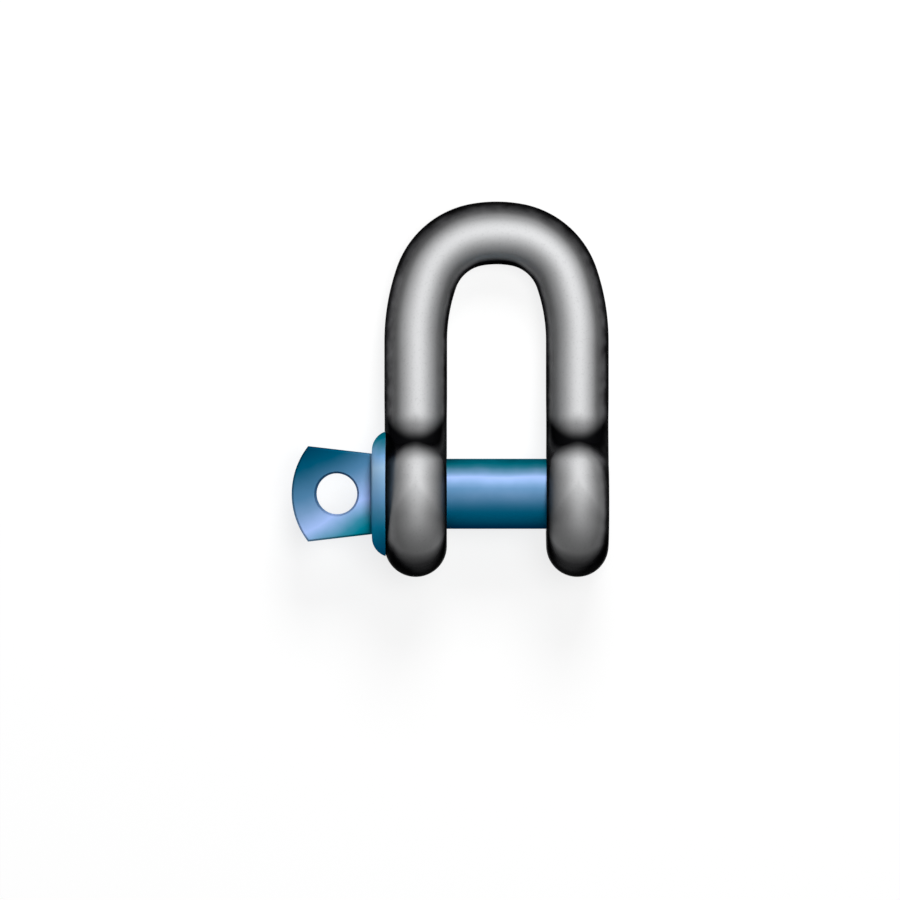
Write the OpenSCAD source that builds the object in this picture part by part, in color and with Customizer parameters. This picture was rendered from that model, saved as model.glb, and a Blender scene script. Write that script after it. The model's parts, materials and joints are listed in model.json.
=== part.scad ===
// Screw pin chain shackle: a dee-shaped forged bow and the forged pin that closes its jaw.
// X runs along the pin, Y from the pin towards the crown, and Z is up.
// The origin is on the pin's axis, midway between the eyes.
// The shackle lies as it comes to rest: on the rims of both eyes and the back of its crown.

/* [Bow] */
// Diameter of the bow's round bar, which is also the thickness of its eyes
bow_d = 32; // [24:0.5:36]
// Clear width of the jaw, between the two eyes
jaw_w = 51; // [46:0.5:70]
// Clear length of the bow, from the pin to the inside of the crown
inside_l = 100; // [85:0.5:160]
// Centreline radius of the slightly flattened top of the crown
crown_r = 58; // [45:0.5:80]
// Half the angle that the top of the crown turns through
crown_angle = 10; // [5:0.5:15]
// Centreline radius of the long easy bend from each shoulder into its leg
flank_r = 100; // [70:1:140]
// Angle that each flank turns through
flank_angle = 19; // [12:0.5:22]

/* [Eyes] */
// Diameter of each eye, seen along the pin
eye_d = 75; // [68:0.5:90]
// Distance of the eye's centre beyond the pin's axis, which thickens the side that the pin bears on
eye_drop = 5.2; // [0:0.1:7]
// Radius of the forged hollow between each leg and its eye
neck_r = 12; // [6:0.5:20]
// Depth of the spot face that the pin's collar seats on
seat_depth = 0.5; // [0.3:0.1:1.5]
// How much wider that spot face is than the collar
seat_play = 0.2; // [0.2:0.1:2]
// Chamfer at the mouths of the holes in the eyes
mouth_chamfer = 1; // [0.5:0.1:2]

/* [Pin] */
// Diameter of the pin's shank, and nominal diameter of its thread
pin_d = 36; // [28:0.5:38]
// How much wider the plain eye's hole is than the shank
pin_play = 2; // [1.6:0.1:3]
// Pitch of the coarse thread on the pin's end
thread_pitch = 4; // [2:0.25:4.5]
// Radial clearance of the thread in the tapped eye
thread_play = 0.1; // [0.05:0.01:0.2]
// Distance of the pin's tip inside the outer face of the tapped eye
tip_inset = 1; // [0.5:0.1:4]
// Chamfer on the pin's tip
tip_chamfer = 2.5; // [1:0.1:4]

/* [Collar] */
// Diameter of the pin's collar
collar_d = 65; // [56:0.5:70]
// Thickness of the collar
collar_t = 7; // [5:0.1:10]
// Radius of the round on the collar's outboard edge
collar_round = 10; // [10:0.1:12]

/* [Tab] */
// Length of the tab, from the collar to the middle of its curved end
tab_l = 41.1; // [34:0.1:55]
// Width of the tab where it leaves the collar
tab_root_w = 41.4; // [34:0.1:43]
// Width of the tab at the corners of its curved end
tab_end_w = 49; // [43.5:0.1:58]
// Radius of the tab's curved end
tab_end_r = 39.8; // [34:0.1:60]
// Thickness of the tab
tab_t = 16; // [12:0.5:20]
// Round on the tab's edges
tab_edge_r = 1.2; // [1:0.1:4]
// Fillet between the tab's faces and the collar
tab_fillet = 1.2; // [1:0.1:6]
// Diameter of the hole through the tab
tab_hole_d = 21; // [14:0.5:24]
// Distance of that hole's centre from the collar
tab_hole_x = 18; // [15:0.1:22]
// Chamfer on the hole's two rims
tab_hole_chamfer = 1; // [0.5:0.1:2]

/* [Hidden] */
$fn = 96;
// Overlap of a cutting solid past the face that it cuts
over = 1;
// Fineness of the lofted bow: flats over half the bar's section, the most degrees of bend between
// two stations, and stations along a neck's hollow and round an eye
half_n = 16;
bend_step = 4;
neck_n = 8;
rim_n = 48;

bow_r = bow_d / 2;
pin_r = pin_d / 2;
leg_x = jaw_w / 2 + bow_r;
eye_face_x = leg_x + bow_r;

// The crown's centreline is five arcs: top, two shoulders and two flanks.
// The shoulders take the radius that brings the flanks onto the legs.
crown_y = pin_r + inside_l + bow_r;
shoulder_angle = 90 - crown_angle - flank_angle;
shoulder_r = (leg_x - crown_r * sin(crown_angle) - flank_r * (1 - cos(flank_angle)))
    / (cos(flank_angle) - sin(crown_angle));
crown_c = [0, crown_y - crown_r];
shoulder_c = crown_c + (crown_r - shoulder_r) * [sin(crown_angle), cos(crown_angle)];
flank_c = shoulder_c + (shoulder_r - flank_r) * [cos(flank_angle), sin(flank_angle)];
spring_y = flank_c.y;

// Each eye is a disc with a fully rounded rim. The hollow at its neck turns about an axis
// parallel to the pin, on each side of the leg.
eye_r = eye_d / 2;
eye_core_r = eye_r - bow_r;
neck_z = bow_r + neck_r;
neck_y = sqrt(pow(eye_r + neck_r, 2) - pow(neck_z, 2)) - eye_drop;
neck_angle = asin(neck_z / (eye_r + neck_r));
rim_angle = 360 - 2 * neck_angle;

// The rims of the eyes are taller than the bar is thick, so the bow lies with its crown tipped down.
tilt = asin((eye_r - bow_r) / (crown_y + eye_drop));

// A metric thread's pitch diameter is smaller than its nominal one by this share of the pitch.
pitch_depth = 0.6495;
thread_r = pin_r - pitch_depth * thread_pitch / 2;
tapped_r = thread_r + thread_play;
plain_r = pin_r + pin_play / 2;

collar_r = collar_d / 2;
collar_flat_r = collar_r - collar_round;
seat_x = -eye_face_x + seat_depth;
collar_x = seat_x - collar_t;
seat_r = (collar_d + seat_play) / 2;
tip_x = eye_face_x - tip_inset;
// The shank stops a hair short of the tapped eye.
shank_gap = 0.2;
shank_x = jaw_w / 2 - shank_gap;

tab_corner_l = tab_l - tab_end_r + sqrt(pow(tab_end_r, 2) - pow(tab_end_w / 2, 2));
tab_flare = (tab_end_w - tab_root_w) / 2 / tab_corner_l;
// The tab and its fillet run on into the collar by this much.
tab_sink = 3;

// Lays the flat-drawn shackle down on the rims of its eyes and its crown
module lie() {
    rotate([-tilt, 0, 0]) children();
}

// Turns a solid of revolution about Z into one about X, with the native X axis along Y
module about_x() {
    rotate([90, 0, 90]) children();
}

// Stations along the bar's centreline, each a point and the direction of its outer side:
// from the right neck, round the crown, to the left neck
function arc_stations(centre, radius, from, to) =
    let (steps = ceil((to - from) / bend_step))
    [for (i = [1:steps])
        let (a = from + (to - from) * i / steps)
        [centre.x + radius * cos(a), centre.y + radius * sin(a), a]];

function mirrored(p) = [-p.x, p.y];

centreline = concat(
    [[leg_x, neck_y, 0], [leg_x, spring_y, 0]],
    arc_stations(flank_c, flank_r, 0, flank_angle),
    arc_stations(shoulder_c, shoulder_r, flank_angle, 90 - crown_angle),
    arc_stations(crown_c, crown_r, 90 - crown_angle, 90 + crown_angle),
    arc_stations(mirrored(shoulder_c), shoulder_r, 90 + crown_angle, 180 - flank_angle),
    arc_stations(mirrored(flank_c), flank_r, 180 - flank_angle, 180),
    [[-leg_x, neck_y, 180]]
);

// Stations round an eye in the YZ plane, each a point of its flat and the direction of its rim:
// down the hollow of the front neck, round the eye, and up the hollow of the back neck
function rim_station(centre, radius, a) = [centre.x + radius * cos(a), centre.y + radius * sin(a), a];

rim = concat(
    [for (i = [0:neck_n]) rim_station([neck_y, neck_z], -neck_z, 90 - (90 - neck_angle) * i / neck_n)],
    [for (i = [1:rim_n]) rim_station([-eye_drop, 0], eye_core_r, neck_angle + rim_angle * i / rim_n)],
    [for (i = [1:neck_n])
        rim_station([neck_y, -neck_z], -neck_z, 360 - neck_angle - (90 - neck_angle) * i / neck_n)]
);
rim_end = len(rim) - 1;

// Points of the bar's round section, and of the half-round rim that it spreads into
function section_angle(j) = -90 + 180 * j / half_n;
function bar_point(s, j) =
    let (b = section_angle(j), out = bow_r * sin(b))
    [s[0] + out * cos(s[2]), s[1] + out * sin(s[2]), bow_r * cos(b)];
function rim_point(side, s, j) =
    let (b = section_angle(j), out = bow_r * cos(b))
    [side * (leg_x + bow_r * sin(b)), s[0] + out * cos(s[2]), s[1] + out * sin(s[2])];

// The bow's points: the bar's rings, then each eye's rim and the middles of its two flats
sides = [1, -1];
ring_n = 2 * half_n;
row_n = half_n + 1;
eye_n = (rim_end - 1) * row_n + 2;
bow_points = concat(
    [for (s = centreline) for (j = [0:ring_n - 1]) bar_point(s, j)],
    [for (side = sides) each concat(
        [for (m = [1:rim_end - 1]) for (j = [0:half_n]) rim_point(side, rim[m], j)],
        [for (face = sides) [side * (leg_x - face * bow_r), -eye_drop, 0]]
    )]
);

// Places of those points in the list. A rim starts and ends on the two halves of the bar's end ring.
function ring_id(i, j) = i * ring_n + j % ring_n;
function eye_base(k) = len(centreline) * ring_n + k * eye_n;
function end_ring(k) = k * (len(centreline) - 1);
function rim_id(k, m, j) =
    m == 0 ? ring_id(end_ring(k), j)
    : m == rim_end ? ring_id(end_ring(k), ring_n - j)
    : eye_base(k) + (m - 1) * row_n + j;
function flat_id(k, face) = eye_base(k + 1) - 2 + face;

// The bow's faces, with those of the left eye turned about because it mirrors the right one
function quad(a, b, c, d) = [[a, b, c], [a, c, d]];
function facing(k, face) = k == 0 ? face : [face[2], face[1], face[0]];
bow_faces = concat(
    [for (i = [0:len(centreline) - 2]) for (j = [0:ring_n - 1])
        each quad(ring_id(i, j), ring_id(i + 1, j), ring_id(i + 1, j + 1), ring_id(i, j + 1))],
    [for (k = [0, 1]) for (m = [0:rim_end - 1]) for (j = [0:half_n - 1])
        for (f = quad(rim_id(k, m, j), rim_id(k, m, j + 1), rim_id(k, m + 1, j + 1), rim_id(k, m + 1, j)))
            facing(k, f)],
    [for (k = [0, 1]) for (m = [0:rim_end - 1]) each [
        facing(k, [flat_id(k, 0), rim_id(k, m, 0), rim_id(k, m + 1, 0)]),
        facing(k, [flat_id(k, 1), rim_id(k, m + 1, half_n), rim_id(k, m, half_n)])
    ]]
);

// A hole along X with a chamfered mouth at each end
module mouthed_hole(radius, from, to, from_mouth, to_mouth) {
    about_x() {
        translate([0, 0, from - over]) cylinder(r = radius, h = to - from + 2 * over);
        translate([0, 0, from - over])
            cylinder(r1 = radius + from_mouth + over, r2 = radius, h = from_mouth + over);
        translate([0, 0, to - to_mouth])
            cylinder(r1 = radius, r2 = radius + to_mouth + over, h = to_mouth + over);
    }
}

// The bow: one forging, bored plain in the left eye and for the thread in the right eye
module shackle_bow() {
    color([0.56, 0.57, 0.59]) lie() difference() {
        polyhedron(bow_points, bow_faces);
        mouthed_hole(plain_r, seat_x, -jaw_w / 2, mouth_chamfer, mouth_chamfer);
        mouthed_hole(tapped_r, jaw_w / 2, eye_face_x, plain_r - tapped_r, mouth_chamfer);
        about_x() translate([0, 0, -eye_face_x - over]) cylinder(r = seat_r, h = seat_depth + over);
    }
}

// Half-section of the pin's shank and threaded end
module shank_section() {
    step = pin_r - thread_r;
    polygon([
        [0, collar_x + over],
        [pin_r, collar_x + over],
        [pin_r, shank_x],
        [thread_r, shank_x + step],
        [thread_r, tip_x - tip_chamfer],
        [thread_r - tip_chamfer, tip_x],
        [0, tip_x]
    ]);
}

// Half-section of the collar, with its outboard edge rounded over
module collar_section() {
    translate([0, collar_x]) square([collar_flat_r, collar_t]);
    intersection() {
        translate([collar_flat_r, collar_x + collar_round]) circle(r = collar_round);
        translate([collar_flat_r, collar_x]) square([collar_round, collar_t]);
    }
}

// Outline of the tab, flaring from the collar to its curved end
module tab_outline() {
    root = tab_root_w / 2 - tab_flare * tab_sink;
    far = tab_root_w / 2 + tab_flare * tab_l;
    intersection() {
        polygon([[tab_sink, -root], [tab_sink, root], [-tab_l, far], [-tab_l, -far]]);
        translate([tab_end_r - tab_l, 0]) circle(r = tab_end_r);
    }
}

// The tab as one slab with rounded edges, measured from the collar's outboard face
module tab_slab() {
    hull() for (turn = [0:30:90]) {
        linear_extrude(tab_t - 2 * tab_edge_r * (1 - sin(turn)), center = true)
            offset(delta = -tab_edge_r * (1 - cos(turn))) tab_outline();
    }
}

// Coved root where the tab's two faces run into the collar
module tab_root() {
    root_r = norm([tab_root_w, tab_t]) / 2;
    intersection() {
        rotate([90, 0, 0]) linear_extrude(tab_root_w, center = true) difference() {
            translate([-tab_fillet, -tab_t / 2 - tab_fillet])
                square([tab_fillet + tab_sink, tab_t + 2 * tab_fillet]);
            for (side = [-1, 1])
                translate([-tab_fillet, side * (tab_t / 2 + tab_fillet)]) circle(r = tab_fillet);
        }
        about_x() translate([0, 0, -tab_fillet - over])
            cylinder(r = root_r, h = tab_fillet + tab_sink + 2 * over);
    }
}

// Hole through the tab, with chamfered rims
module tab_hole() {
    hole_r = tab_hole_d / 2;
    cylinder(r = hole_r, h = tab_t + 2 * over, center = true);
    for (side = [0, 1])
        mirror([0, 0, side]) translate([0, 0, tab_t / 2 - tab_hole_chamfer])
            cylinder(r1 = hole_r, r2 = hole_r + tab_hole_chamfer + over, h = tab_hole_chamfer + over);
}

// The pin: one forging with its shank, threaded end, collar and tab
module screw_pin() {
    color([0.16, 0.42, 0.6]) lie() difference() {
        union() {
            about_x() rotate_extrude() shank_section();
            about_x() rotate_extrude() collar_section();
            translate([collar_x, 0, 0]) tab_slab();
            translate([collar_x, 0, 0]) tab_root();
        }
        translate([collar_x - tab_hole_x, 0, 0]) tab_hole();
    }
}

shackle_bow();
screw_pin();
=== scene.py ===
"""The looks of a screw pin chain shackle: a forged steel bow and the blue pin that closes its jaw.

The shackle is drawn flat, with X along the pin, Y from the pin towards the crown and Z out of the bow's
plane. It then lies down on the rims of its eyes and the back of its crown, as its solids do.
"""

import json
import logging
import math
from collections.abc import Sequence
from dataclasses import dataclass, field
from enum import Enum
from typing import Any

import bmesh
import bpy
import numpy as np
from mathutils import Matrix, Vector
from numpy.typing import NDArray

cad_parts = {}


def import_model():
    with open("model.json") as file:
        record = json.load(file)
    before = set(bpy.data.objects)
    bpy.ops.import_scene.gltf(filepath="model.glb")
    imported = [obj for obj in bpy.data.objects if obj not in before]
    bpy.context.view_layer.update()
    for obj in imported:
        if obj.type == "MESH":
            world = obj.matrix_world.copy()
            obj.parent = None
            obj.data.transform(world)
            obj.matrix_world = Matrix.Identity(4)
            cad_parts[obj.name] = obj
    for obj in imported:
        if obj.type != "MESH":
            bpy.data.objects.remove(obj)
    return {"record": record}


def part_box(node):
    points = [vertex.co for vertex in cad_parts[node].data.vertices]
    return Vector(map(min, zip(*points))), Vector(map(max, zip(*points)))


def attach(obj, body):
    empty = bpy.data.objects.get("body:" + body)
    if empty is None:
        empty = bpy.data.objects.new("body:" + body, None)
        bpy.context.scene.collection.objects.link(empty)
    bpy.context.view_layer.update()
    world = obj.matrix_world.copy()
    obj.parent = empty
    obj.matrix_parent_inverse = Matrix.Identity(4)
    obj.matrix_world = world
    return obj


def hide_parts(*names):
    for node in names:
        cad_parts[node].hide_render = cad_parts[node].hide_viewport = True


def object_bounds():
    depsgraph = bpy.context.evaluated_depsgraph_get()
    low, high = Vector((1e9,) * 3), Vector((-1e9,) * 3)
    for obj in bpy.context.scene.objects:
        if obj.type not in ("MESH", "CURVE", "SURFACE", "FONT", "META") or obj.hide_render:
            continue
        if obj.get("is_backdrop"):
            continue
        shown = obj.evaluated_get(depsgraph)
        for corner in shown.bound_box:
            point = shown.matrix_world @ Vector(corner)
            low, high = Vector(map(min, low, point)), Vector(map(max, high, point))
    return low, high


log = logging.getLogger("shackle")

Points = NDArray[np.float64]
Faces = list[Sequence[int]]
Colour = tuple[float, float, float]
Span = tuple[float, float]
Band = tuple[tuple[float, ...], tuple[float, ...]]
Stops = tuple[tuple[float, Colour], ...]
Node = bpy.types.Node
Socket = bpy.types.NodeSocket

MM = 0.001
# How far a cutter reaches past the faces that it cuts.
OVER = 2 * MM
# The sockets of a Mix node that blends two colours.
MIX_SHARE, MIX_FIRST, MIX_SECOND, MIX_RESULT = 0, 6, 7, 2


class Side(Enum):
    """The two eyes of the bow: the plain one by the tab, and the tapped one by the thread."""

    PLAIN = -1
    TAPPED = 1


class Cut(Enum):
    """How one solid changes another."""

    AWAY = "DIFFERENCE"
    JOIN = "UNION"
    KEEP = "INTERSECT"


class Held(Enum):
    """What each vertex of a mesh holds."""

    PLACE = "co"
    NORMAL = "normal"


@dataclass(frozen=True)
class Lay:
    """How the flat-drawn shackle lies in the frame: turned about the pin's axis by a small tilt."""

    tilt: float

    @classmethod
    def along(cls, axis: Sequence[float]) -> "Lay":
        """Finds the lay that turns the flat drawing's normal onto an axis.

        Args:
            axis: A direction in the frame, at right angles to the pin.

        Returns:
            The lay.
        """
        return cls(math.atan2(axis[1], axis[2]))

    @property
    def turn(self) -> Matrix:
        """The turn from the flat drawing to the frame."""
        return Matrix.Rotation(-self.tilt, 4, "X")

    def place(self, flat: Sequence[float]) -> Vector:
        """The place in the frame of a point of the flat drawing."""
        return self.turn @ Vector(flat)


@dataclass(frozen=True)
class Thread:
    """A coarse, right-handed metric thread along X, drawn as rings of corners that lie one step apart."""

    crest_r: float
    pitch: float = 4 * MM
    depth_share: float = 0.6134
    crest_share: float = 1 / 16
    flank_share: float = 0.3542
    step: float = 0.2 * MM
    corners: int = 120

    @property
    def depth(self) -> float:
        """The height of the crest above the root."""
        return self.depth_share * self.pitch

    def wall(self, x: Points) -> tuple[Points, Points]:
        """Works out the thread's wall on rings about its axis.

        Args:
            x: The place of each ring along the axis.

        Returns:
            The place and the radius of each corner, one row for each ring.
        """
        turn = np.linspace(0.0, math.tau, self.corners, endpoint=False)
        along = np.repeat(x[:, None], self.corners, axis=1)
        phase = np.mod(along / self.pitch - turn / math.tau + 0.5, 1.0) - 0.5
        drop = np.clip((np.abs(phase) - self.crest_share) / self.flank_share, 0.0, 1.0)
        return along, self.crest_r - self.depth * drop


def arc(centre: Sequence[float], radius: float, start: float, end: float, steps: int) -> Points:
    """Makes stations along an arc, without its first end.

    Args:
        centre: The arc's centre.
        radius: Its radius, negative where the stations' outer side faces the centre.
        start: The angle where it starts, in degrees.
        end: The angle where it ends, in degrees.
        steps: How many stations it has.

    Returns:
        One row for each station: its two coordinates and the angle of its outer side, in radians.
    """
    angle = np.radians(np.linspace(start, end, steps + 1)[1:])
    return np.c_[centre[0] + radius * np.cos(angle), centre[1] + radius * np.sin(angle), angle]


def straight(start: Sequence[float], end: Sequence[float], angle: float, steps: int) -> Points:
    """Makes stations along a straight line, with both ends.

    Args:
        start: The line's first point.
        end: Its last point.
        angle: The angle of the stations' outer side, in degrees.
        steps: How many steps there are between them.

    Returns:
        One row for each station, as arc gives them.
    """
    share = np.linspace(0.0, 1.0, steps + 1)[:, None]
    places = (1 - share) * np.array(start) + share * np.array(end)
    return np.c_[places, np.full(steps + 1, math.radians(angle))]


def smooth_step(value: Points, low: float, high: float) -> Points:
    """Rises smoothly from 0 at low to 1 at high."""
    share = np.clip((value - low) / (high - low), 0.0, 1.0)
    return share * share * (3 - 2 * share)


def rounded(side: Points, along: Points, power: float) -> Points:
    """How far out a place lies on a rounded end, from 0 in its middle to 1 on its outline."""
    return (side**power + along**power) ** (1 / power)


def mesh_object(name: str, points: Points, faces: Faces) -> bpy.types.Object:
    """Makes a mesh object and links it to the scene.

    Args:
        name: The object's name.
        points: Its vertices.
        faces: Its faces, as lists of vertex numbers.

    Returns:
        The object, with faces that point outwards.
    """
    mesh = bpy.data.meshes.new(name)
    mesh.from_pydata(points.tolist(), [], faces)
    made = bmesh.new()
    made.from_mesh(mesh)
    bmesh.ops.recalc_face_normals(made, faces=made.faces)
    made.to_mesh(mesh)
    made.free()
    thing = bpy.data.objects.new(name, mesh)
    bpy.context.scene.collection.objects.link(thing)
    return thing


def revolved(name: str, x: Points, radius: Points) -> bpy.types.Object:
    """Makes a closed solid about the X axis.

    Args:
        name: The object's name.
        x: The place of each ring along the axis.
        radius: The radius of each ring at each of its corners, one row for each ring.

    Returns:
        The object, with a flat face at each end.
    """
    turn = np.linspace(0.0, math.tau, radius.shape[1], endpoint=False)
    along = np.repeat(x[:, None], radius.shape[1], axis=1)
    return stacked(name, list(np.stack([along, radius * np.cos(turn), radius * np.sin(turn)], axis=2)))


def turned(name: str, section: Sequence[tuple[float, float]], corners: int = 128) -> bpy.types.Object:
    """Makes a plain turned solid about the X axis.

    Args:
        name: The object's name.
        section: Points of its half-section, as a place along the axis and a radius.
        corners: How many corners each ring has.

    Returns:
        The object.
    """
    profile = np.array(section)
    return revolved(name, profile[:, 0], np.repeat(profile[:, 1:], corners, axis=1))


def inset(outline: Points, distance: float) -> Points:
    """Draws a closed outline again, further in by the same distance all round.

    Args:
        outline: Its corners in turn, counter-clockwise.
        distance: How far in it moves.

    Returns:
        As many corners.
    """
    edge = np.roll(outline, -1, axis=0) - outline
    inward = np.c_[-edge[:, 1], edge[:, 0]] / np.linalg.norm(edge, axis=1)[:, None]
    before = np.roll(inward, 1, axis=0)
    return outline + distance * (inward + before) / (1 + np.sum(inward * before, axis=1))[:, None]


def stacked(name: str, loops: Sequence[Points]) -> bpy.types.Object:
    """Makes a closed solid from loops of points, one above the other.

    Args:
        name: The object's name.
        loops: The loops in turn, with as many points each.

    Returns:
        The object, with a flat face at each end.
    """
    count = len(loops[0])
    faces: Faces = [
        (i * count + j, i * count + k, (i + 1) * count + k, (i + 1) * count + j)
        for i in range(len(loops) - 1)
        for j, k in ((j, (j + 1) % count) for j in range(count))
    ]
    faces.append(tuple(range(count)))
    faces.append(tuple(range((len(loops) - 1) * count, len(loops) * count)))
    return mesh_object(name, np.vstack(loops), faces)


def carve(target: bpy.types.Object, tool: bpy.types.Object, cut: Cut) -> None:
    """Cuts or joins one solid with another, which is used up.

    Args:
        target: The solid that changes. Faces that the tool leaves on it keep the tool's material.
        tool: The other solid.
        cut: What is done.
    """
    step = target.modifiers.new("carve", "BOOLEAN")
    step.object = tool
    step.operation = cut.value
    step.solver = "EXACT"
    step.material_mode = "TRANSFER"
    graph = bpy.context.evaluated_depsgraph_get()
    carved = bpy.data.meshes.new_from_object(target.evaluated_get(graph))
    target.modifiers.remove(step)
    target.data = carved
    bpy.data.objects.remove(tool)


def finish_mesh(thing: bpy.types.Object, lay: Lay, sharp: float = 32.0) -> None:
    """Lays a flat-drawn piece down, welds its seams and shades it smooth between its sharp edges.

    Args:
        thing: The piece.
        lay: How it lies.
        sharp: The angle between two faces above which their edge is sharp, in degrees.
    """
    weld = 0.002 * MM
    made = bmesh.new()
    made.from_mesh(thing.data)
    bmesh.ops.remove_doubles(made, verts=made.verts, dist=weld)
    bmesh.ops.dissolve_degenerate(made, edges=made.edges, dist=weld)
    bmesh.ops.transform(made, matrix=lay.turn, verts=made.verts)
    made.to_mesh(thing.data)
    made.free()
    thing.data.shade_smooth()
    thing.data.set_sharp_from_angle(angle=math.radians(sharp))
    weighted = thing.modifiers.new("weighted_normals", "WEIGHTED_NORMAL")
    weighted.keep_sharp = True


def read_flat(thing: bpy.types.Object, lay: Lay, held: Held) -> Points:
    """Reads what a piece's vertices hold, turned back into the flat drawing.

    Args:
        thing: The piece.
        lay: How it lies.
        held: What is read.

    Returns:
        One row for each vertex.
    """
    values = np.zeros(len(thing.data.vertices) * 3)
    thing.data.vertices.foreach_get(held.value, values)
    return values.reshape(-1, 3) @ np.array(lay.turn.to_3x3())


def add_masks(thing: bpy.types.Object, masks: dict[str, Points]) -> None:
    """Stores masks on a piece's vertices.

    Args:
        thing: The piece.
        masks: Each mask's values, under the name by which the finish reads it.
    """
    for name, mask in masks.items():
        kept = thing.data.attributes.new(name, "FLOAT", "POINT")
        kept.data.foreach_set("value", mask.astype(np.float32))


@dataclass(frozen=True)
class Noise:
    """Soft noise in a finish: how many blobs it has in a metre, and how many finer layers."""

    scale: float
    detail: float


@dataclass(frozen=True)
class Speckle:
    """Noise of which one span of values is stretched onto another."""

    noise: Noise
    values: Span
    shares: Span


@dataclass(frozen=True)
class Relief:
    """The fine relief of a finish: lumps, with a share of finer grain on them."""

    lumps: Noise
    grain: Noise
    grain_share: float
    depth: float
    strength: float


class NodeSheet:
    """The node tree of one material, with short calls that add its nodes and join them."""

    def __init__(self, name: str) -> None:
        """Starts an empty material.

        Args:
            name: The material's name.
        """
        self.material = bpy.data.materials.new(name)
        self.material.use_nodes = True
        self.tree = self.material.node_tree
        self.tree.nodes.clear()

    def add(self, kind: str, inputs: dict[str | int, Any] | None = None, **settings: Any) -> Node:
        """Adds a node.

        Args:
            kind: The node's type, without its ShaderNode prefix.
            inputs: Values or sockets for its inputs, by name or number.
            settings: Its own properties.

        Returns:
            The node.
        """
        node = self.tree.nodes.new(f"ShaderNode{kind}")
        for name, value in settings.items():
            setattr(node, name, value)
        for key, value in (inputs or {}).items():
            self.feed(node.inputs[key], value)
        return node

    def feed(self, target: Socket, value: Any) -> None:
        """Joins a socket to an input, or sets the input's own value.

        Args:
            target: The input.
            value: The socket, or the value. A colour may come without its alpha.
        """
        if isinstance(value, bpy.types.NodeSocket):
            self.tree.links.new(value, target)
        elif target.type == "RGBA" and len(value) == 3:
            target.default_value = (*value, 1.0)
        else:
            target.default_value = value

    def place(self) -> Socket:
        """The surface's place on its own piece."""
        return self.add("TexCoord").outputs["Object"]

    def mask(self, name: str) -> Socket:
        """A mask that the mesh carries at its points."""
        return self.add("Attribute", attribute_name=name).outputs["Fac"]

    def noise(self, noise: Noise) -> Socket:
        """Adds soft noise from 0 to 1."""
        blobs = {"Vector": self.place(), "Scale": noise.scale, "Detail": noise.detail}
        return self.add("TexNoise", blobs).outputs["Fac"]

    def speckle(self, speckle: Speckle) -> Socket:
        """Adds noise with its values stretched."""
        return self.span(self.noise(speckle.noise), speckle.values, speckle.shares)

    def span(self, value: Socket, source: Span, result: Span) -> Socket:
        """Maps a value from one span onto another, clamped."""
        ends = {"From Min": source[0], "From Max": source[1], "To Min": result[0], "To Max": result[1]}
        return self.add("MapRange", {"Value": value, **ends}).outputs["Result"]

    def maths(self, operation: str, first: Any, second: Any = 0.0) -> Socket:
        """Adds one step of arithmetic on one or two values or sockets."""
        return self.add("Math", {0: first, 1: second}, operation=operation).outputs[0]

    def blend(self, share: Socket, first: Any, second: Any) -> Socket:
        """Blends two colours by a share from 0 to 1."""
        inputs = {MIX_SHARE: share, MIX_FIRST: first, MIX_SECOND: second}
        return self.add("Mix", inputs, data_type="RGBA").outputs[MIX_RESULT]

    def ramp(self, share: Socket, stops: Stops) -> Socket:
        """Adds a run of colours.

        Args:
            share: The place on the run.
            stops: Its places from 0 to 1, each with a colour.

        Returns:
            The colour.
        """
        node = self.add("ValToRGB", {"Fac": share})
        elements = node.color_ramp.elements
        while len(elements) < len(stops):
            elements.new(0.5)
        for stop, (place, colour) in zip(elements, stops):
            stop.position, stop.color = place, (*colour, 1.0)
        return node.outputs["Color"]

    def bump(self, height: Socket, depth: float, strength: float) -> Socket:
        """A surface normal that is roughened by a height."""
        inputs = {"Height": height, "Distance": depth, "Strength": strength}
        return self.add("Bump", inputs).outputs["Normal"]

    def relief(self, relief: Relief) -> Socket:
        """Adds a surface normal with fine relief.

        Args:
            relief: The lumps and the grain on them.

        Returns:
            The normal.
        """
        grain = self.maths("MULTIPLY", self.noise(relief.grain), relief.grain_share)
        height = self.maths("ADD", self.noise(relief.lumps), grain)
        return self.bump(height, relief.depth, relief.strength)

    def close(self, shader: Socket) -> bpy.types.Material:
        """Joins the shader to the material's output, and returns the material."""
        self.add("OutputMaterial", {"Surface": shader})
        return self.material


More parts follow.
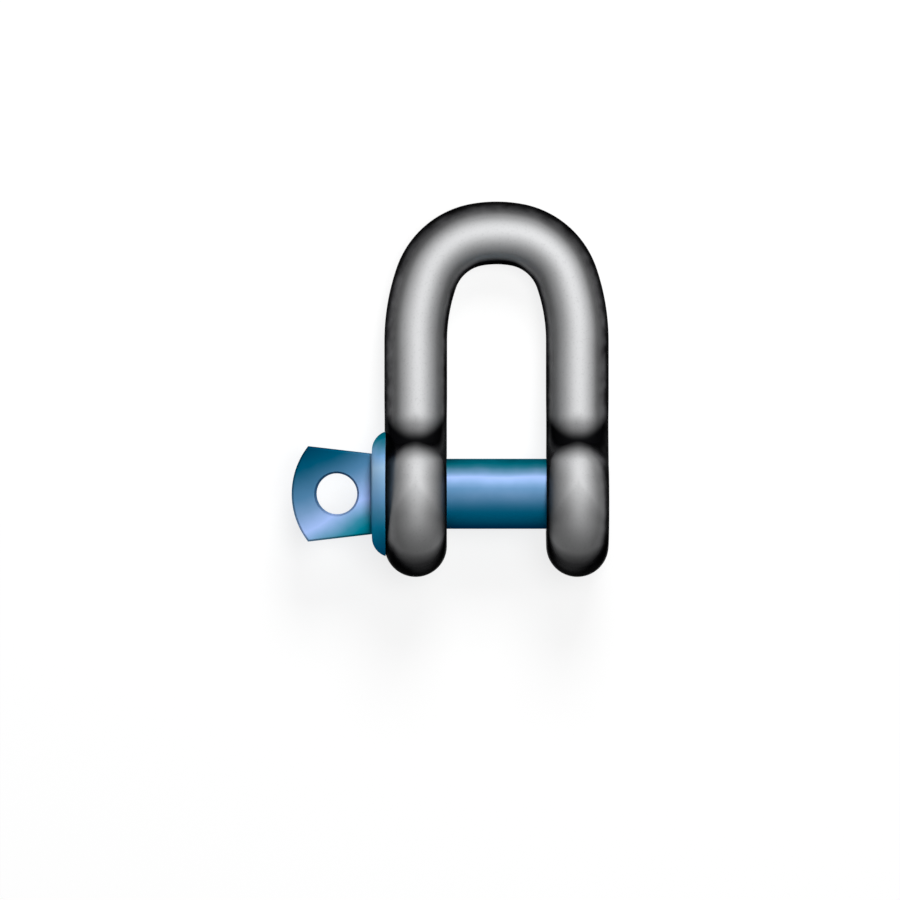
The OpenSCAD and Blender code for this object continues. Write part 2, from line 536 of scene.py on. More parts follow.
@dataclass(frozen=True)
class ForgedSteel:
    """Satin forged steel: bright on its faces, with dark scale and painted shade on the flanks, and
    painted shade on the crown's edges, on the eyes and in the hollows.

    Its roughness runs over its own span while the mask of scale and painted shade on the flanks runs over
    the span rough_from.
    """

    bright: Colour = (0.9, 0.905, 0.915)
    scale: Colour = (0.13, 0.13, 0.134)
    burnt: Colour = (0.06, 0.059, 0.061)
    # A near-black tone for painted shade.
    shade_tone: Colour = (0.008, 0.008, 0.009)
    edge: Colour = (0.02, 0.02, 0.02)
    mottle: Speckle = Speckle(Noise(60, 4), (0.3, 0.7), (0.95, 1.0))
    patches: Speckle = Speckle(Noise(130, 5), (0.35, 0.65), (0.0, 1.0))
    specks: Speckle = Speckle(Noise(900, 4), (0.55, 0.75), (0.0, 0.12))
    relief: Relief = Relief(Noise(220, 3), Noise(900, 4), 0.3, 0.12 * MM, 0.35)
    rough_from: Span = (0.2, 1.0)
    roughness: Span = (0.68, 0.33)

    def material(self) -> bpy.types.Material:
        """Mixes the finish, which reads three masks from its mesh: scale and painted shade on the flanks,
        painted shade over the crown and eyes, and painted shade in the creases.

        Returns:
            The material.
        """
        sheet = NodeSheet("forged_steel")
        # Real dark scale and painted shade on the flanks that turn away from the front.
        flank = sheet.maths("MULTIPLY", sheet.mask("flank"), sheet.speckle(self.mottle))
        scale = sheet.blend(sheet.speckle(self.patches), self.scale, self.burnt)
        tone = sheet.blend(flank, self.bright, scale)
        # Painted shade over the bar, most on the crown's edges and low on the eyes.
        tone = sheet.blend(sheet.mask("dull"), tone, self.shade_tone)
        tone = sheet.blend(sheet.speckle(self.specks), tone, self.burnt)
        # Painted shade in the creases where the legs meet the eyes.
        tone = sheet.blend(sheet.mask("crease"), tone, self.shade_tone)
        steel = sheet.add("BsdfPrincipled", {
            "Base Color": tone,
            "Metallic": 1.0,
            "Roughness": sheet.span(flank, self.rough_from, self.roughness),
            "Specular Tint": self.edge,
            "Normal": sheet.relief(self.relief),
        })
        return sheet.close(steel.outputs["BSDF"])


@dataclass(frozen=True)
class MachinedSteel:
    """Bare steel as a lathe leaves it, with fine rings about the pin's axis."""

    colour: Colour = (0.56, 0.565, 0.575)
    stained: Colour = (0.3, 0.3, 0.31)
    stain: Speckle = Speckle(Noise(120, 4), (0.4, 0.75), (0.0, 0.35))
    roughness: float = 0.32
    ring_w: float = 0.35 * MM
    ring_depth: float = 0.02 * MM
    ring_strength: float = 0.4

    def material(self) -> bpy.types.Material:
        """Mixes the finish.

        Returns:
            The material.
        """
        sheet = NodeSheet("machined_steel")
        flattened = sheet.add("Mapping", {"Vector": sheet.place(), "Scale": (0.0, 1.0, 1.0)})
        radius = sheet.add("VectorMath", {0: flattened.outputs["Vector"]}, operation="LENGTH")
        waves = sheet.maths("MULTIPLY", radius.outputs["Value"], math.tau / self.ring_w)
        steel = sheet.add("BsdfPrincipled", {
            "Base Color": sheet.blend(sheet.speckle(self.stain), self.colour, self.stained),
            "Metallic": 1.0,
            "Roughness": self.roughness,
            "Normal": sheet.bump(sheet.maths("SINE", waves), self.ring_depth, self.ring_strength),
        })
        return sheet.close(steel.outputs["BSDF"])


@dataclass(frozen=True)
class BlueWithPaintedLight:
    """Blue forged steel under thin lacquer, with painted highlight and shade in its colour: from navy
    through a pale painted highlight to teal.
    """

    # The pin's blue, run from navy in painted shade through a pale painted highlight to teal.
    shaded_blues: Stops = (
        (0.0, (0.0, 0.065, 0.14)),
        (0.14, (0.0, 0.115, 0.215)),
        (0.375, (0.1, 0.272, 0.46)),
        (0.52, (0.235, 0.405, 0.64)),
        (0.67, (0.46, 0.62, 0.97)),
        (0.84, (0.05, 0.315, 0.445)),
        (0.9, (0.0, 0.255, 0.345)),
        (1.0, (0.0, 0.1, 0.14)),
    )
    # The collar's own run, with a paler painted highlight.
    collar_shaded_blues: Stops = (
        (0.0, (0.0, 0.1, 0.14)),
        (0.08, (0.0, 0.28, 0.39)),
        (0.2, (0.36, 0.64, 0.93)),
        (0.29, (0.6, 0.81, 1.0)),
        (0.53, (0.31, 0.61, 0.88)),
        (0.7, (0.125, 0.49, 0.72)),
        (0.78, (0.015, 0.43, 0.66)),
        (0.9, (0.0, 0.24, 0.46)),
        (1.0, (0.0, 0.14, 0.3)),
    )
    # Painted shade on the lower shank, and darker at its very bottom.
    deep: Colour = (0.0, 0.34, 0.6)
    keel: Colour = (0.0, 0.06, 0.135)
    edge: Colour = (0.0, 0.3, 0.35)
    cloud: Speckle = Speckle(Noise(35, 3), (0.3, 0.7), (-0.04, 0.04))
    relief: Relief = Relief(Noise(180, 2), Noise(700, 3), 0.25, 0.08 * MM, 0.25)
    roughness: float = 0.68
    rough_collar: float = 0.86

    def material(self) -> bpy.types.Material:
        """Mixes the finish, which reads from its mesh the run of painted highlight and shade, the painted
        shade low on the shank and at its bottom, and the collar.

        Returns:
            The material.
        """
        sheet = NodeSheet("temper_blue")
        collar = sheet.mask("collar")
        # Painted highlight and shade: where a vertex lies on the run of blues.
        temper = sheet.maths("ADD", sheet.mask("temper"), sheet.speckle(self.cloud))
        # Painted shade low on the shank, then darker at its bottom.
        tone = sheet.blend(sheet.mask("deep"), sheet.ramp(temper, self.shaded_blues), self.deep)
        tone = sheet.blend(sheet.mask("keel"), tone, self.keel)
        # The collar's own painted highlight and shade.
        tone = sheet.blend(collar, tone, sheet.ramp(temper, self.collar_shaded_blues))
        lacquer = sheet.add("BsdfPrincipled", {
            "Base Color": tone,
            "Metallic": 1.0,
            "Roughness": sheet.span(collar, (0.0, 1.0), (self.roughness, self.rough_collar)),
            "Specular Tint": self.edge,
            "Normal": sheet.relief(self.relief),
        })
        return sheet.close(lacquer.outputs["BSDF"])


@dataclass(frozen=True)
class PaleFloor:
    """A plain pale floor that reads as white, and still takes the object's shadow."""

    colour: Colour = (0.3, 0.3, 0.3)
    white: float = 0.79

    def material(self) -> bpy.types.Material:
        """Mixes the finish: matt, with a glow that only the view and reflections see.

        Returns:
            The material.
        """
        sheet = NodeSheet("pale_floor")
        path = sheet.add("LightPath").outputs
        seen = sheet.maths("MAXIMUM", path["Is Camera Ray"], path["Is Glossy Ray"])
        seen = sheet.maths("MAXIMUM", seen, path["Is Transmission Ray"])
        glow = sheet.add("Emission", {"Strength": sheet.maths("MULTIPLY", seen, self.white)})
        matt = sheet.add("BsdfDiffuse", {"Color": self.colour})
        both = sheet.add("AddShader", {0: matt.outputs["BSDF"], 1: glow.outputs["Emission"]})
        return sheet.close(both.outputs["Shader"])


@dataclass
class Bow:
    """The forged bow: a round bar bent to a dee, which spreads through hollow necks into two eyes.

    The first fields give its form, and those that end in _n count the steps of a stretch. The fields from
    side_reach on say where its scale, its painted shade and its painted light lie. The places in a band
    are millimetres along Y, unless the method that reads it says otherwise.
    """

    lay: Lay
    eye_face_x: float
    pin_r: float
    thread: Thread
    bar_r: float = 16 * MM
    inside_l: float = 100 * MM
    crown_r: float = 58 * MM
    crown_angle: float = 10.0
    flank_r: float = 100 * MM
    flank_angle: float = 19.0
    eye_r: float = 37.5 * MM
    eye_drop: float = 5.2 * MM
    neck_r: float = 12 * MM
    seat_r: float = 32.1 * MM
    seat_depth: float = 0.5 * MM
    mouth: float = 1 * MM
    pin_play: float = 1 * MM
    thread_play: float = 0.15 * MM
    flash_h: float = 0.12 * MM
    flash_w: float = 1.6 * MM
    half_n: int = 48
    leg_n: int = 24
    flank_n: int = 18
    shoulder_n: int = 36
    crown_n: int = 18
    hollow_n: int = 28
    eye_n: int = 176
    side_reach: Band = ((-0.5, 0.5), (0.64, 0.38))
    eye_reach: Band = ((-10, 7, 17, 27, 42), (0.21, 0.16, 0.13, 0.13, 0))
    # Painted light: lifts the shade in the gap between the collar and the plain eye.
    collar_gap_band: Band = ((0.5, 2.3, 5.4, 7.5), (0, 0.12, 0.3, 0))
    collar_gap_r: float = 34 * MM
    collar_gap_w: float = 3 * MM
    collar_gap_end_y: float = 15 * MM
    spring_y: float = 78 * MM
    # Painted shade on the crown's edges, down the eyes and at their feet.
    crown_span: Span = (-0.05, 0.6)
    crown_shade: float = 0.47
    inside_span: Span = (0.72, 0.92)
    inside_shade: float = 0.8
    lit_band: Band = (
        (-16, -10, -4, 1, 5, 9, 13, 17, 27, 42),
        (0.6, 0.53, 0.51, 0.54, 0.58, 0.69, 0.81, 1, 1, 0.82),
    )
    lit_side_lift: float = 22 * MM
    lift_end_y: float = 8.5 * MM
    foot_band: Band = ((-42.5, -40.5, -38, -36, -33, -30), (1, 0.6, 0.25, 0.22, 0.5, 1))
    aside_limit: float = 0.995
    # Painted shade in the creases between the legs' ends and the eyes' domes.
    leg_end_y: float = 42 * MM
    leg_soft: float = 0.2
    leg_round: float = 1.7
    leg_fade: float = 1.65
    crease_y: float = 27.1 * MM
    crease_limit: float = 0.98
    crease_span: Span = (0.15, 0.6)
    dome_end_y: float = 17.3 * MM
    dome_w: float = 0.9
    dome_round: float = 1.6
    dome_fade: float = 1.3
    piece: bpy.types.Object | None = field(default=None, init=False)

    def __post_init__(self) -> None:
        """Works out the places that follow from the sizes."""
        self.leg_x = self.eye_face_x - self.bar_r
        self.crown_y = self.pin_r + self.inside_l + self.bar_r
        self.neck_z = self.bar_r + self.neck_r
        self.neck_y = math.sqrt((self.eye_r + self.neck_r) ** 2 - self.neck_z**2) - self.eye_drop
        self.neck_angle = math.degrees(math.asin(self.neck_z / (self.eye_r + self.neck_r)))

    def centreline(self) -> Points:
        """Lays out the bar's centreline: leg, flank, shoulder, crown, shoulder, flank and leg.

        Returns:
            Its stations from the right neck to the left one, as arc gives them.
        """
        top, side = self.crown_angle, self.flank_angle
        sin_top, cos_top = math.sin(math.radians(top)), math.cos(math.radians(top))
        sin_side, cos_side = math.sin(math.radians(side)), math.cos(math.radians(side))
        spread = self.leg_x - self.crown_r * sin_top - self.flank_r * (1 - cos_side)
        shoulder_r = spread / (cos_side - sin_top)
        crown_c = np.array([0.0, self.crown_y - self.crown_r])
        shoulder_c = crown_c + (self.crown_r - shoulder_r) * np.array([sin_top, cos_top])
        flank_c = shoulder_c + (shoulder_r - self.flank_r) * np.array([cos_side, sin_side])
        mirror = np.array([-1.0, 1.0])
        neck, spring = (self.leg_x, self.neck_y), (self.leg_x, flank_c[1])
        return np.vstack([
            straight(neck, spring, 0, self.leg_n),
            arc(flank_c, self.flank_r, 0, side, self.flank_n),
            arc(shoulder_c, shoulder_r, side, 90 - top, self.shoulder_n),
            arc(crown_c, self.crown_r, 90 - top, 90 + top, self.crown_n),
            arc(shoulder_c * mirror, shoulder_r, 90 + top, 180 - side, self.shoulder_n),
            arc(flank_c * mirror, self.flank_r, 180 - side, 180, self.flank_n),
            straight(spring * mirror, neck * mirror, 180, self.leg_n)[1:],
        ])

    def rim(self) -> Points:
        """Lays out an eye's flat in Y and Z: a neck's hollow, round the eye, and the other hollow.

        Returns:
            Its stations, as arc gives them.
        """
        start, end = self.neck_angle, 360 - self.neck_angle
        return np.vstack([
            arc((self.neck_y, self.neck_z), -self.neck_z, 90, start, self.hollow_n),
            arc((-self.eye_drop, 0), self.eye_r - self.bar_r, start, end, self.eye_n),
            arc((self.neck_y, -self.neck_z), -self.neck_z, end, 270, self.hollow_n)[:-1],
        ])

    def bar_points(self, line: Points) -> Points:
        """Sets the bar's round section at each station, with the trimmed flash of its forging.

        Args:
            line: The centreline's stations.

        Returns:
            The points of each ring in turn, starting on the inside of the bow.
        """
        angle = np.linspace(-0.5 * math.pi, 1.5 * math.pi, 2 * self.half_n, endpoint=False)
        fade = smooth_step(line[:, 1], self.neck_y, self.neck_y + self.bar_r)[:, None]
        flash = self.flash_h * np.exp(-((self.bar_r * np.cos(angle) / self.flash_w) ** 2))
        radius = self.bar_r + fade * flash
        out, up = radius * np.sin(angle), radius * np.cos(angle)
        x = line[:, :1] + out * np.cos(line[:, 2:])
        y = line[:, 1:2] + out * np.sin(line[:, 2:])
        return np.stack([x, y, up], axis=2).reshape(-1, 3)

    def eye_points(self, rim: Points, side: Side) -> Points:
        """Sweeps the half-round rim of an eye along its flat's outline.

        Args:
            rim: The outline's stations.
            side: Which eye it is.

        Returns:
            The points of each station in turn, from the jaw to the outside.
        """
        angle = np.linspace(-0.5 * math.pi, 0.5 * math.pi, self.half_n + 1)
        out = self.bar_r * np.cos(angle)
        y = rim[:, :1] + out * np.cos(rim[:, 2:])
        z = rim[:, 1:2] + out * np.sin(rim[:, 2:])
        x = np.broadcast_to(side.value * (self.leg_x + self.bar_r * np.sin(angle)), y.shape)
        return np.stack([x, y, z], axis=2).reshape(-1, 3)

    def skin(self) -> bpy.types.Object:
        """Lofts the whole bow as one closed skin, with no holes yet.

        Returns:
            The object.
        """
        line, rim = self.centreline(), self.rim()
        around, across = 2 * self.half_n, self.half_n + 1
        ids = np.arange(len(line) * around).reshape(len(line), around)
        rows = [self.bar_points(line)]
        faces: Faces = [
            (ids[i, j], ids[i + 1, j], ids[i + 1, (j + 1) % around], ids[i, (j + 1) % around])
            for i in range(len(line) - 1)
            for j in range(around)
        ]
        count = ids.size
        for side, ring in ((Side.TAPPED, ids[0]), (Side.PLAIN, ids[-1])):
            rows.append(self.eye_points(rim, side))
            own = np.arange(count, count + len(rim) * across).reshape(len(rim), across)
            count += own.size
            front, back = ring[:across], np.r_[ring[0], ring[:self.half_n - 1:-1]]
            grid = np.vstack([front, own, back])
            faces += [
                (grid[m, j], grid[m, j + 1], grid[m + 1, j + 1], grid[m + 1, j])
                for m in range(len(grid) - 1)
                for j in range(self.half_n)
            ]
            faces += [tuple(grid[:-1, 0]), tuple(grid[:-1, -1])]
        return mesh_object("shackle_bow_forged", np.vstack(rows), [[int(i) for i in f] for f in faces])

    def holes(self) -> list[bpy.types.Object]:
        """Makes the cutters for the plain eye with its spot face, and for the tapped eye.

        Returns:
            The cutters.
        """
        jaw_x, face_x = self.leg_x - self.bar_r, self.eye_face_x
        seat_x = face_x - self.seat_depth
        plain_r = self.pin_r + self.pin_play
        wide_r = plain_r + self.mouth + OVER
        plain = turned("plain_bore", [
            (-seat_x - OVER, wide_r),
            (-seat_x + self.mouth, plain_r),
            (-jaw_x - self.mouth, plain_r),
            (-jaw_x + OVER, wide_r),
        ])
        seat = turned("spot_face", [(-face_x - OVER, self.seat_r), (-seat_x, self.seat_r)])
        rings = np.arange(jaw_x - OVER, face_x + OVER, self.thread.step)
        along, groove = self.thread.wall(rings)
        mouths = np.maximum(plain_r - (along - jaw_x), self.pin_r + self.mouth + (along - face_x))
        tapped = revolved("tapped_bore", rings, np.maximum(groove + self.thread_play, mouths))
        return [plain, seat, tapped]

    def flanks(self, place: Points, normal: Points) -> Points:
        """Finds the sides of the bar, where dark scale is left and shade is painted on the faces that
        turn away from the front, apart from a ring beside the collar that painted light lifts.

        The side reach goes by how far a vertex faces out of the bow, and the band of painted light by its
        distance in millimetres from the plain eye's outer face.

        Args:
            place: Each vertex's place.
            normal: Its normal.

        Returns:
            The scale and painted shade on each vertex, from 0 to 1.
        """
        # Scale and painted shade: darker the more a face turns sideways, away from the front.
        outward = np.c_[place[:, 0], np.maximum(0.0, place[:, 1] - self.spring_y)]
        outward /= np.linalg.norm(outward, axis=1)[:, None] + MM
        facing = np.sum(outward * normal[:, :2], axis=1)
        reach = np.interp(facing, *self.side_reach) + np.interp(place[:, 1] / MM, *self.eye_reach)
        # Painted light in the gap beside the collar, where the collar shades the eye.
        ring = np.hypot(place[:, 1], place[:, 2])
        collar_gap_light = 1 - smooth_step(ring, self.collar_gap_r, self.collar_gap_r + self.collar_gap_w)
        collar_gap_light *= 1 - smooth_step(place[:, 1], self.collar_gap_end_y, self.collar_gap_end_y + 2 * self.collar_gap_w)
        collar_gap_light *= np.interp((self.eye_face_x + place[:, 0]) / MM, *self.collar_gap_band)
        return smooth_step((1 - np.abs(normal[:, 2])) / reach, 0.0, 1.0) * (1 - collar_gap_light)

    def painted_shading(self, place: Points, normal: Points) -> Points:
        """Finds the painted shade over the bar: on the crown's two edges, and down the eyes to their
        feet, but not their tops.

        Args:
            place: Each vertex's place.
            normal: Its normal.

        Returns:
            The painted shade on each vertex, from 0 to 1.
        """
        y, aside = place[:, 1], self.aside(place)
        # Painted shade on the crown's outer and inner edges.
        bend = smooth_step(y, self.spring_y, self.crown_y - self.bar_r)
        crown = self.crown_shade * bend * smooth_step(normal[:, 1], *self.crown_span)
        inside = self.inside_shade * bend * smooth_step(-normal[:, 1], *self.inside_span)
        # Painted shade down the eyes, lifted towards their sides.
        skin = np.interp(y / MM, *self.lit_band)
        lifted = np.minimum(self.lift_end_y, y + self.lit_side_lift * np.abs(aside))
        brighter = np.maximum(skin, np.interp(lifted / MM, *self.lit_band))
        skin = np.where(y < self.lift_end_y, brighter, skin)
        # Painted shade at the eyes' feet.
        foot = np.interp((y - self.bar_r * (1 - np.sqrt(1 - aside**2))) / MM, *self.foot_band)
        return 1 - skin * foot * (1 - crown) * (1 - inside)

    def aside(self, place: Points) -> Points:
        """The distance from a leg's middle across the bar, from -1 in the jaw to 1 outside."""
        across = (np.abs(place[:, 0]) - self.leg_x) / self.bar_r
        return np.clip(across, -self.aside_limit, self.aside_limit)

    def creases(self, place: Points, normal: Points) -> Points:
        """Finds the painted shade in the hollows between the rounded ends of the legs and the domed tops
        of the eyes.

        Args:
            place: Each vertex's place.
            normal: Its normal.

        Returns:
            The painted shade on each vertex, from 0 to 1.
        """
        y, aside = place[:, 1], np.abs(self.aside(place))
        # Painted shade: clean on the leg's rounded end and the eye's dome, dark in the crease between
        # them.
        down = np.clip((self.leg_end_y - y) / (self.leg_end_y - self.crease_y), 0.0, 1.0)
        side = np.minimum(aside**2 / np.hypot(aside, self.leg_soft), self.crease_limit)
        leg = np.maximum(0.0, 1 - rounded(side, down, self.leg_round)) / (1 - side)
        rise = np.clip((y - self.dome_end_y) / (self.crease_y - self.dome_end_y), 0.0, 1.0)
        side = np.minimum(aside / self.dome_w, self.crease_limit)
        dome = np.maximum(0.0, 1 - rounded(side, rise, self.dome_round) ** 2) / (1 - side**2)
        clean = np.where(y > self.crease_y, leg**self.leg_fade, dome**self.dome_fade)
        return (1 - clean) * smooth_step(np.abs(normal[:, 2]), *self.crease_span)

    def mark(self) -> None:
        """Gives the mesh the masks that its finish reads: scale with painted shade, painted light by the
        collar, and painted shade.
        """
        place = read_flat(self.piece, self.lay, Held.PLACE)
        normal = read_flat(self.piece, self.lay, Held.NORMAL)
        add_masks(self.piece, {
            "flank": self.flanks(place, normal),
            "dull": self.painted_shading(place, normal),
            "crease": self.creases(place, normal),
        })

    def build(self) -> None:
        """Makes the bow's mesh."""
        self.piece = self.skin()
        self.piece.data.materials.append(ForgedSteel().material())
        machined = MachinedSteel().material()
        for cutter in self.holes():
            cutter.data.materials.append(machined)
            carve(self.piece, cutter, Cut.AWAY)
        finish_mesh(self.piece, self.lay)

    def dress(self) -> None:
        """Marks the bow with its scale, painted shade and painted light, and ties it to the frame."""
        self.mark()
        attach(self.piece, "bow")
        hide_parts("shackle_bow")


@dataclass
class ScrewPin:
    """The forged pin: shank, threaded end, collar and flared tab with a hole.

    The first fields give its form, and those that end in _n count the points of a curve. The fields from
    band_slant on say where its painted highlight and shade lie.
    """

    lay: Lay
    thread: Thread
    seat_x: float
    shank_x: float
    tip_x: float
    pin_r: float
    tab_hole_x: float
    tab_hole_r: float
    tip_chamfer: float = 2.5 * MM
    collar_t: float = 7 * MM
    collar_r: float = 32.5 * MM
    collar_round: float = 10 * MM
    tab_l: float = 41.1 * MM
    tab_root_w: float = 41.4 * MM
    tab_end_w: float = 49 * MM
    tab_end_r: float = 39.8 * MM
    tab_t: float = 16 * MM
    tab_edge_r: float = 1.2 * MM
    tab_fillet: float = 1.2 * MM
    tab_sink: float = 3 * MM
    hole_chamfer: float = 1 * MM
    collar_n: int = 25
    tab_end_n: int = 49
    tab_edge_n: int = 8
    cove_n: int = 17
    # Painted highlight and shade: a pale band slantwise over the tab, and bands by height round the
    # shank.
    band_slant: float = 28.0
    band_at: float = -28.5 * MM
    band_w: float = 55 * MM
    band_run: float = 0.67
    shank_band: Band = (
        (-1.0, -0.5, -0.06, 0.15, 0.42, 0.51, 0.62, 0.7, 1.0),
        (0.4, 0.44, 0.43, 0.45, 0.635, 0.71, 0.775, 0.795, 0.97),
    )
    shank_skin: float = 0.1 * MM
    join_w: float = 1 * MM
    low_shade_span: Span = (0.0, 0.6)
    keel_span: Span = (0.55, 1.0)
    piece: bpy.types.Object | None = field(default=None, init=False)

    @property
    def collar_x(self) -> float:
        """The place of the collar's outboard face."""
        return self.seat_x - self.collar_t

    def stem(self) -> bpy.types.Object:
        """Turns the collar, shank and threaded end as one solid.

        Returns:
            The object.
        """
        flat_r = self.collar_r - self.collar_round
        last = math.acos(1 - self.collar_t / self.collar_round)
        bend = np.linspace(0.0, last, self.collar_n)
        collar_x = self.collar_x + self.collar_round * (1 - np.cos(bend))
        collar_r = flat_r + self.collar_round * np.sin(bend)
        thread_x = np.arange(self.shank_x, self.tip_x, self.thread.step)
        x = np.r_[collar_x, self.seat_x, thread_x, self.tip_x]
        plain = np.r_[collar_r, np.full(len(x) - len(collar_r), self.pin_r)]
        along, wall = self.thread.wall(x)
        cut = smooth_step(along, self.shank_x, self.shank_x + self.thread.pitch)
        radius = plain[:, None] - cut * (self.pin_r - wall)
        end_r = self.pin_r - self.thread.depth - self.tip_chamfer / 2
        return revolved("screw_pin_forged", x, np.minimum(radius, end_r + self.tip_x - along))

    def tab_outline(self) -> list[tuple[float, float]]:
        """Draws the tab from the collar to its curved end.

        Returns:
            The corners of the outline, from the collar's outboard face, with the end's arc as points.
        """
        half_root, half_end = self.tab_root_w / 2, self.tab_end_w / 2
        corner = math.asin(half_end / self.tab_end_r)
        corner_x = self.tab_end_r - self.tab_l - self.tab_end_r * math.cos(corner)
        flare = (half_end - half_root) / -corner_x
        sunk = half_root - flare * self.tab_sink
        end = [
            (self.tab_end_r - self.tab_l - self.tab_end_r * math.cos(a), self.tab_end_r * math.sin(a))
            for a in np.linspace(corner, -corner, self.tab_end_n)
        ]
        return [(self.tab_sink, -sunk), (self.tab_sink, sunk), *end]

    def tab(self) -> bpy.types.Object:
        """Forges the tab as a slab with rounded edges.

        Returns:
            The object.
        """
        outline = np.array(self.tab_outline()) + (self.collar_x, 0.0)
        bend = np.linspace(0.0, 0.5 * math.pi, self.tab_edge_n)
        inset_by = self.tab_edge_r * (1 - np.cos(bend))
        height = self.tab_t / 2 - self.tab_edge_r * (1 - np.sin(bend))
        layers = [*zip(inset_by[::-1], -height[::-1]), *zip(inset_by, height)]
        return stacked("tab", [np.c_[inset(outline, d), np.full(len(outline), z)] for d, z in layers])

    def tab_root(self) -> bpy.types.Object:
        """Makes the coved root where the tab's two faces run into the collar.

        Returns:
            The object.
        """
        half_t, fillet = self.tab_t / 2, self.tab_fillet
        bend = np.linspace(0.0, 0.5 * math.pi, self.cove_n)
        cove = [(-fillet * (1 - math.sin(a)), half_t + fillet * (1 - math.cos(a))) for a in bend]
        upper = [(self.tab_sink, cove[-1][1]), *reversed(cove)]
        outline = np.array([*upper, *((x, -z) for x, z in reversed(upper))]) + (self.collar_x, 0.0)
        ends = np.array([-0.5, 0.5]) * self.tab_root_w
        root = stacked("tab_root", [np.insert(outline, 1, y, axis=1) for y in ends])
        reach = math.hypot(self.tab_root_w, self.tab_t) / 2
        span = (self.collar_x - 2 * fillet, self.collar_x + 2 * self.tab_sink)
        carve(root, turned("root_limit", [(x, reach) for x in span]), Cut.KEEP)
        return root

    def hole(self) -> bpy.types.Object:
        """Makes the cutter for the tab's hole, with its two chamfered rims.

        Returns:
            The object.
        """
        half_t = self.tab_t / 2
        wide_r = self.tab_hole_r + self.hole_chamfer + OVER
        straight_h = half_t - self.hole_chamfer
        drill = turned("tab_hole", [
            (-half_t - OVER, wide_r),
            (-straight_h, self.tab_hole_r),
            (straight_h, self.tab_hole_r),
            (half_t + OVER, wide_r),
        ])
        upright = Matrix.Rotation(math.pi / 2, 4, "Y")
        drill.data.transform(Matrix.Translation((self.tab_hole_x, 0, 0)) @ upright)
        return drill

    def mark(self) -> None:
        """Gives the mesh its masks: painted highlight and shade slantwise over the tab and round the
        rest, and painted shade below.
        """
        x, y, z = read_flat(self.piece, self.lay, Held.PLACE).T
        # Painted highlight and shade: a slant band over the tab, and bands by height round the shank and
        # the collar.
        slant = math.radians(self.band_slant)
        across = x * math.sin(slant) - y * math.cos(slant)
        on_tab = self.band_run + (across - self.band_at) / self.band_w
        on_shank = np.interp(y / self.pin_r, *self.shank_band)
        on_collar = (1 - y / self.collar_r) / 2
        tab = 1 - smooth_step(x, self.collar_x - self.join_w, self.collar_x)
        shank = (np.hypot(y, z) < self.pin_r + self.shank_skin) & (x > self.collar_x + self.join_w)
        # Painted shade low on the shank, darker at its bottom.
        low = -y / self.pin_r
        add_masks(self.piece, {
            "temper": tab * on_tab + (1 - tab) * np.where(shank, on_shank, on_collar),
            "deep": shank * smooth_step(low, *self.low_shade_span),
            "keel": shank * smooth_step(low, *self.keel_span),
            "collar": (1 - tab) * ~shank,
        })

    def build(self) -> None:
        """Makes the pin's mesh."""
        self.piece = self.stem()
        blue = BlueWithPaintedLight().material()
        self.piece.data.materials.append(blue)
        for tool, cut in ((self.tab(), Cut.JOIN), (self.tab_root(), Cut.JOIN), (self.hole(), Cut.AWAY)):
            tool.data.materials.append(blue)
            carve(self.piece, tool, cut)
        finish_mesh(self.piece, self.lay)

    def dress(self) -> None:
        """Marks the pin with its painted highlight and shade, and ties it to the frame."""
        self.mark()
        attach(self.piece, "pin")
        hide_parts("screw_pin")


@dataclass(frozen=True)
class Lamp:
    """A square soft box that faces the object, by its lean from the camera's line of sight."""

    name: str
    crown_lean: float
    side_lean: float
    distance: float
    size: float
    power: float


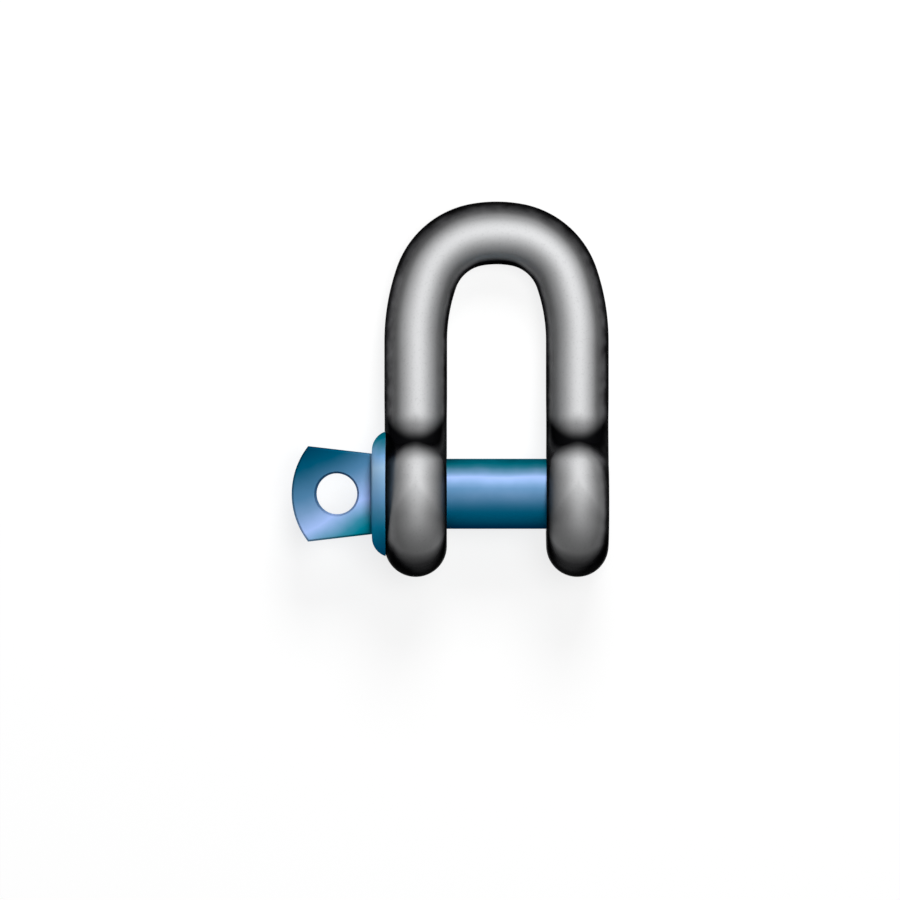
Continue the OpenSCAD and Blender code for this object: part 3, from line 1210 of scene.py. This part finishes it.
@dataclass
class Studio:
    """The floor, the soft boxes and the camera, which looks squarely at the bow's plane."""

    lay: Lay
    floor_z: float
    aim: tuple[float, float, float] = (-23.9 * MM, 22.5 * MM, 0.0)
    frame_w: float = 462.3 * MM
    lens: float = 300.0
    sensor: float = 36.0
    sight: float = 4.0
    floor_size: float = 40.0
    world: float = 0.06
    lamps: tuple[Lamp, ...] = (
        Lamp("key_box", crown_lean=40.0, side_lean=8.0, distance=2.6, size=0.9, power=37.0),
        Lamp("front_box", crown_lean=3.0, side_lean=8.0, distance=2.6, size=0.9, power=27.0),
    )

    def toward(self, crown_lean: float, side_lean: float) -> Vector:
        """A direction in the frame, by its lean from the flat drawing's normal, in degrees."""
        crown, side = math.tan(math.radians(crown_lean)), math.tan(math.radians(side_lean))
        return self.lay.place((side, crown, 1.0)).normalized()

    def floor(self) -> None:
        """Lays the floor under the object."""
        half = self.floor_size / 2
        square = ((-half, -half), (half, -half), (half, half), (-half, half))
        corners = np.array([(x, y, self.floor_z) for x, y in square])
        plane = mesh_object("floor", corners, [(0, 1, 2, 3)])
        plane.data.materials.append(PaleFloor().material())
        plane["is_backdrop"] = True

    def light(self) -> None:
        """Hangs the soft boxes and sets the faint light all round."""
        middle = self.lay.place(self.aim)
        for lamp in self.lamps:
            box = bpy.data.lights.new(lamp.name, "AREA")
            box.shape, box.size, box.energy = "SQUARE", lamp.size, lamp.power
            stand = bpy.data.objects.new(lamp.name, box)
            toward = self.toward(lamp.crown_lean, lamp.side_lean)
            stand.location = middle + lamp.distance * toward
            stand.rotation_euler = toward.to_track_quat("Z", "Y").to_euler()
            bpy.context.scene.collection.objects.link(stand)
        world = bpy.data.worlds.new("studio")
        world.use_nodes = True
        world.node_tree.nodes["Background"].inputs["Color"].default_value = (self.world,) * 3 + (1.0,)
        bpy.context.scene.world = world

    def camera(self) -> None:
        """Sets the camera square to the bow's plane, with the crown up."""
        scene = bpy.context.scene
        eye = bpy.data.cameras.new("camera")
        eye.lens, eye.sensor_width = self.lens, self.sensor
        holder = bpy.data.objects.new("camera", eye)
        distance = self.frame_w * self.lens / self.sensor
        stand = Vector(self.aim) + Vector((0, 0, distance))
        holder.matrix_world = self.lay.turn @ Matrix.Translation(stand)
        eye.clip_end = self.sight * distance
        scene.collection.objects.link(holder)
        scene.camera = holder
        scene.view_settings.view_transform = "Standard"

    def build(self) -> None:
        """Sets up the floor, the light and the camera."""
        self.floor()
        self.light()
        self.camera()


def main() -> None:
    """Builds the shackle round its frame, sets it in the studio and reports each piece."""
    logging.basicConfig(level=logging.INFO, format="%(name)s: %(message)s")
    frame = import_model()
    cad_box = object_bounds()
    mounts = {mount["name"]: mount for mount in frame["record"]["mounts"]}
    jaw_pin, tab_hole = mounts["jaw_pin"], mounts["tab_hole"]
    lay = Lay.along(tab_hole["axis"])
    pin_r = jaw_pin["dims"]["r_mm"] * MM
    bow_box, pin_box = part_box("shackle_bow"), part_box("screw_pin")
    thread = Thread(pin_r)
    bow = Bow(lay, bow_box[1].x, pin_r, thread)
    seat_x = -bow.eye_face_x + bow.seat_depth
    shank_x = seat_x + jaw_pin["dims"]["length_mm"] * MM
    hole_x, hole_r = tab_hole["pos_m"][0], tab_hole["dims"]["r_mm"] * MM
    pin = ScrewPin(lay, thread, seat_x, shank_x, pin_box[1].x, pin_r, hole_x, hole_r)
    for part in (bow, pin):
        part.build()
        part.dress()
        log.info("%s: %d faces", part.piece.name, len(part.piece.data.polygons))
    Studio(lay, cad_box[0].z).build()


if __name__ == "__main__":
    main()
